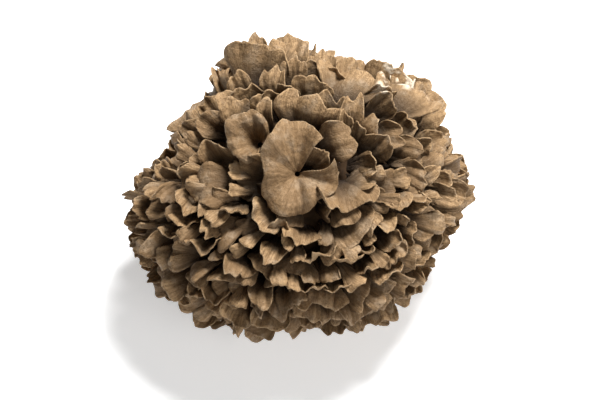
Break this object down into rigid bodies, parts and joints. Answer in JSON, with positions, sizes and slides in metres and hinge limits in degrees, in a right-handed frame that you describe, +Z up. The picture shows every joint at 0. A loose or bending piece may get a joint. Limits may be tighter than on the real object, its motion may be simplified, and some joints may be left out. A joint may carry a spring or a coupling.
{
  "type": "maitake mushroom",
  "caption": "Whole maitake mushroom (hen of the woods): a dense rounded rosette of thin wavy brown fan-shaped caps on a short pale stem cut flat.",
  "frame": {"origin": "middle of the flat cut face under the stem", "axes": "+Z up from the cut face, +X across the rosette to its right seen from the front, +Y from the front to the back; the rosette's face leans to -Y and up"},
  "size_m": [0.2731, 0.2428, 0.2061],
  "materials": {
    "flesh": "dull brown fibrous mushroom skin with paler rims"
  },
  "bodies": {
    "root": {"maitake": "flesh"}
  },
  "joints": []
}
